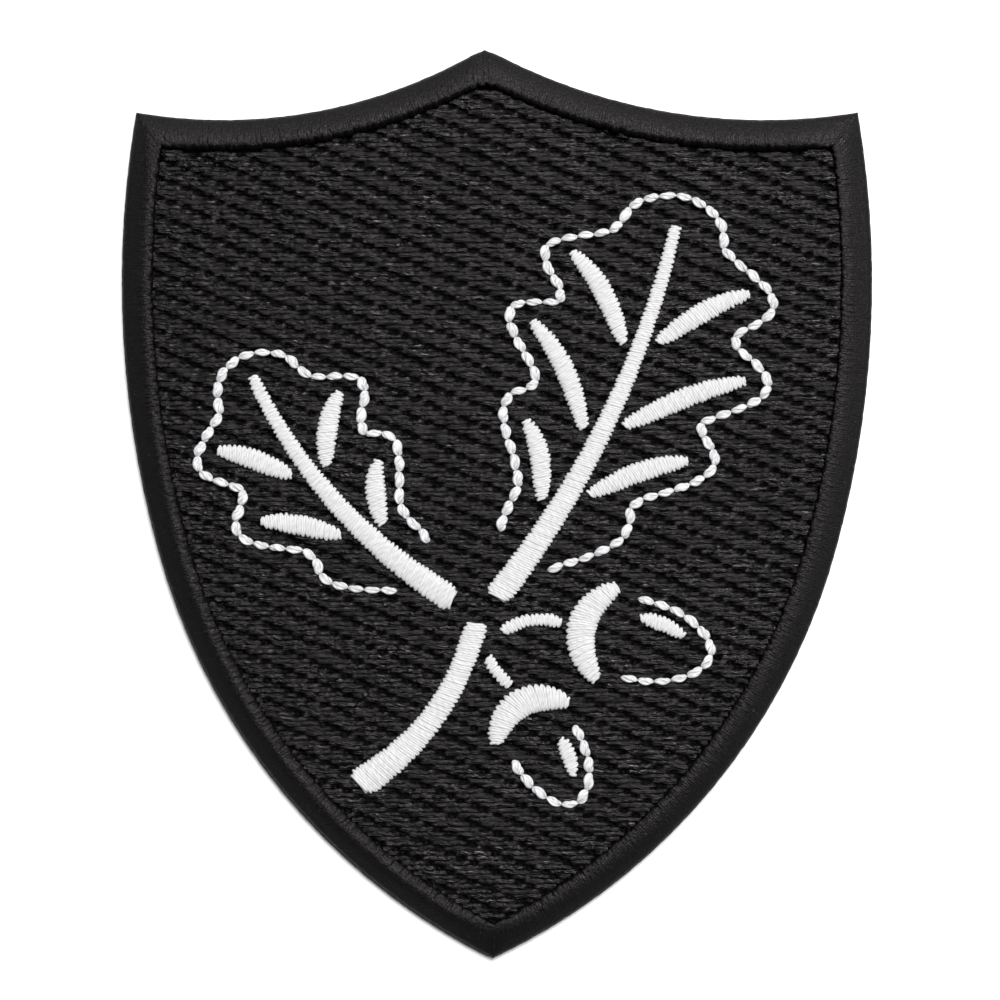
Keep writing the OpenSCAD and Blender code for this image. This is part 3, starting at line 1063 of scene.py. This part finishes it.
def twill_material():
    """Black twill, with its diagonal ribs and the threads that cross them."""
    m = Nodes("black_twill")
    x, y = (m.math("DIVIDE", socket, MM) for socket in m.split(m.where())[:2])
    rib = m.math("SINE", m.math("MULTIPLY", m.math("ADD", x, y), 2 * math.pi / twill_rib))
    pick = m.math("SINE", m.math("MULTIPLY", y, 2 * math.pi / twill_pick))
    grain = m.noise(m.combine(m.math("MULTIPLY", x, 6.0), m.math("MULTIPLY", y, 1.5), 0.0), 1.0, 3.0)
    weave = m.math("ADD", m.math("MULTIPLY", pick, 0.25), grain)
    height = m.math("ADD", m.math("MULTIPLY", rib, 0.6), weave)
    # Painted shade: the colour follows the weave's height, darker in its hollows, with random grain
    tone_and_painted_shade = m.math("MULTIPLY", m.math("ADD", height, 1.0), 0.35)
    shade = m.mix(tone_and_painted_shade, (0.0005, 0.0005, 0.0005, 1), (0.003, 0.0028, 0.0029, 1))
    m.put(shade, m.shader.inputs["Base Color"])
    m.put(m.math("ADD", 0.7, m.math("MULTIPLY", grain, 0.2)), m.shader.inputs["Roughness"])
    m.shader.inputs["Specular IOR Level"].default_value = 0.12
    m.put(m.bump(height, 0.05 * MM), m.shader.inputs["Normal"])
    return m.material


def floor_material():
    m = Nodes("pale_floor")
    grain = m.noise(m.where(), 40.0)
    m.put(m.mix(grain, (0.9, 0.9, 0.9, 1), (0.92, 0.92, 0.92, 1)), m.shader.inputs["Base Color"])
    m.shader.inputs["Roughness"].default_value = 0.9
    m.shader.inputs["Specular IOR Level"].default_value = 0.1
    return m.material


# The filling's thread gets painted shade where it lies low in its needle holes
ground_thread = thread_material(
    "black_fill_thread", dark=(0.0005, 0.0005, 0.0005, 1), light=(0.004, 0.0036, 0.0038, 1),
    rough=0.38, gloss=0.2, relief=0.05, plies=0.25, streaks=(1.0, 14.0, 0.85), mottle=0.3, shine=0.2,
    fuzz=0.2, deep=(fill_top - 0.2, fill_top - 0.32), tint=WARM)
border_thread = thread_material(
    "black_border_thread", dark=(0.0004, 0.0004, 0.0004, 1), light=(0.0018, 0.0016, 0.0017, 1),
    rough=0.48, gloss=0.23, relief=0.04, plies=0.3, streaks=(1.5, 10.0, 0.5), mottle=1.8, shine=0.1,
    speckle=0.15, fuzz=0.9, lint=0.08, tint=WARM)
light_thread = thread_material(
    "white_satin_thread", dark=(0.57, 0.57, 0.58, 1), light=(0.71, 0.71, 0.7, 1),
    rough=0.55, gloss=0.4, relief=0.03, plies=0.5, streaks=(1.5, 12.0, 0.5), mottle=0.3, shine=0.1)
bean_thread = thread_material(
    "white_bean_thread", dark=(0.54, 0.54, 0.57, 1), light=(0.95, 0.95, 0.94, 1),
    rough=0.55, gloss=0.4, relief=0.04, plies=0.8, streaks=(1.5, 12.0, 0.5), mottle=0.3, shine=0.1)


def white_piece(node, make, *args):
    """One of the emblem's white pieces, in place of the solid of that name."""
    threads = Threads(node + "_thread")
    make(threads, *args)
    thread = bean_thread if make is bean_stitches else light_thread
    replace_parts(threads.mesh(thread, "light_thread"), node)


def area_light(name, size, power, place_at, aim=(0, 0, 0)):
    """A round light that faces the point aim."""
    data = bpy.data.lights.new(name, "AREA")
    data.shape = "DISK"
    data.size = size
    data.energy = power
    light = bpy.data.objects.new(name, data)
    light.location = place_at
    bpy.context.scene.collection.objects.link(light)
    direction = [a - b for a, b in zip(aim, place_at)]
    light.rotation_euler = Vector(direction).to_track_quat("-Z", "Y").to_euler()


# Cloth, filling and border
twill = cloth(twill_material())
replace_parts(twill, "base_cloth")

for name, (low_y, high_y) in FILL_BANDS.items():
    threads = Threads(name)
    fill_rows(threads, low_y, high_y)
    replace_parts(threads.mesh(ground_thread, "ground_thread"), "ground_fill")

threads = Threads("border_threads")
border(threads)
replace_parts(threads.mesh(border_thread, "border_thread"), "satin_border")

# Emblem
stem_path = bowed(place(STEM_FOOT), from_fork(STEM_TOP), stem_bow, np.linspace(0, 1, 120))
white_piece("stem", satin_stroke, stem_path, STEM)
for name, row in LEAVES.items():
    leaf = Leaf(row)
    white_piece(name + "_outline", bean_stitches, leaf.outline())
    white_piece(name + "_rib", satin_stroke, leaf.rib(np.linspace(0, rib_end, 160)), RIB)
    for number, (k, s) in enumerate(VEINS[name], 1):
        white_piece(f"{name}_vein_{number}", satin_stroke, leaf.vein(k, s), VEIN)
for name, row in ACORNS.items():
    acorn = Acorn(row)
    white_piece(name + "_stalk", satin_stroke, acorn.stalk(), STALK)
    white_piece(name + "_cup", satin_stroke, acorn.cup(), CUP)
    white_piece(name + "_nut", bean_stitches, acorn.nut())
    white_piece(name + "_gleam", satin_stroke, acorn.gleam(), GLEAM)

# Floor, lights and camera
corners = [(x * floor_half, y * floor_half, 0) for x, y in ((-1, -1), (1, -1), (1, 1), (-1, 1))]
floor_mesh = bpy.data.meshes.new("floor")
floor_mesh.from_pydata(corners, [], [(0, 1, 2, 3)])
floor_mesh.materials.append(floor_material())
floor = bpy.data.objects.new("floor", floor_mesh)
floor.location.z = -floor_drop
bpy.context.scene.collection.objects.link(floor)

area_light("key", size=0.7, power=34.0, place_at=(0.2, 0.66, 1.4))
area_light("side", size=0.7, power=5.5, place_at=(0.98, 0.05, 1.1))

world = bpy.data.worlds.new("studio")
world.use_nodes = True
world.node_tree.nodes["Background"].inputs["Color"].default_value = (1, 1, 1, 1)
world.node_tree.nodes["Background"].inputs["Strength"].default_value = 0.07
bpy.context.scene.world = world

view_mm = photo_px / px_per_mm
camera_data = bpy.data.cameras.new("camera")
camera_data.lens = lens
camera_data.sensor_width = sensor
camera_data.clip_start = 0.01
camera_data.clip_end = 20
camera = bpy.data.objects.new("camera", camera_data)
camera.location = (-shift_px[0] / px_per_mm * MM, shift_px[1] / px_per_mm * MM,
                   (view_mm * lens / sensor + cloth_top) * MM)
bpy.context.scene.collection.objects.link(camera)
bpy.context.scene.camera = camera
bpy.context.scene.view_settings.view_transform = "Standard"
